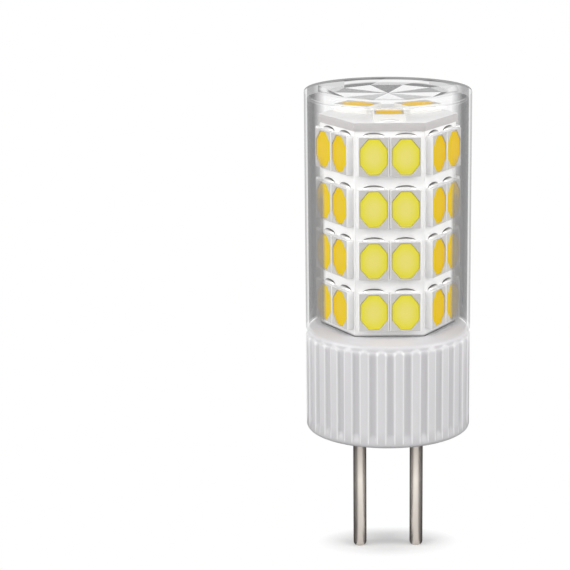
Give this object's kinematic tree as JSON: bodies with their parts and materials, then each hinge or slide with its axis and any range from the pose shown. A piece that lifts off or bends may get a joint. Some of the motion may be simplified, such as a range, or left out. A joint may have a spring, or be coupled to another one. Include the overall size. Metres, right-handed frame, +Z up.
{
  "type": "corn led bulb",
  "caption": "Small corn LED bulb: a hexagonal core of LED boards under a clear cylindrical cover with a faceted top, on a fluted ceramic base with two round contact pins.",
  "frame": {"origin": "centre of the flat underside of the ceramic base, where it seats on a holder", "axes": "+Z up along the bulb towards the faceted top, pins pointing along -Z and spaced along X"},
  "size_m": [0.016, 0.016, 0.046],
  "materials": {
    "ceramic": "satin fired ceramic",
    "pin_metal": "bright nickel plate",
    "solder": "satin solder",
    "driver_laminate": "green board",
    "capacitor_can": "bare can",
    "black_moulding": "matte moulding",
    "wire_sleeve": "insulated wire",
    "white_laminate": "white solder mask",
    "led_moulding": "satin white moulding",
    "phosphor": "yellow phosphor resin",
    "clear_plastic": "clear moulded plastic"
  },
  "bodies": {
    "root": {"ceramic_base": "ceramic", "contact_pin_left": "pin_metal", "contact_pin_right": "pin_metal", "pin_solder": "solder", "driver_board": "driver_laminate", "smoothing_capacitor": "capacitor_can", "bridge_rectifier": "black_moulding", "driver_chip": "black_moulding", "chip_resistor_front": "black_moulding", "chip_resistor_back": "black_moulding", "feed_wire_left": "wire_sleeve", "feed_wire_right": "wire_sleeve", "top_board": "white_laminate", "top_led_bodies": "led_moulding", "top_led_phosphor": "phosphor", "top_led_solder": "solder", "clear_cover": "clear_plastic", "side_board_1": "white_laminate", "side_1_led_bodies": "led_moulding", "side_1_led_phosphor": "phosphor", "side_1_led_solder": "solder", "side_board_2": "white_laminate", "side_2_led_bodies": "led_moulding", "side_2_led_phosphor": "phosphor", "side_2_led_solder": "solder", "side_board_3": "white_laminate", "side_3_led_bodies": "led_moulding", "side_3_led_phosphor": "phosphor", "side_3_led_solder": "solder", "side_board_4": "white_laminate", "side_4_led_bodies": "led_moulding", "side_4_led_phosphor": "phosphor", "side_4_led_solder": "solder", "side_board_5": "white_laminate", "side_5_led_bodies": "led_moulding", "side_5_led_phosphor": "phosphor", "side_5_led_solder": "solder", "side_board_6": "white_laminate", "side_6_led_bodies": "led_moulding", "side_6_led_phosphor": "phosphor", "side_6_led_solder": "solder"}
  },
  "joints": []
}
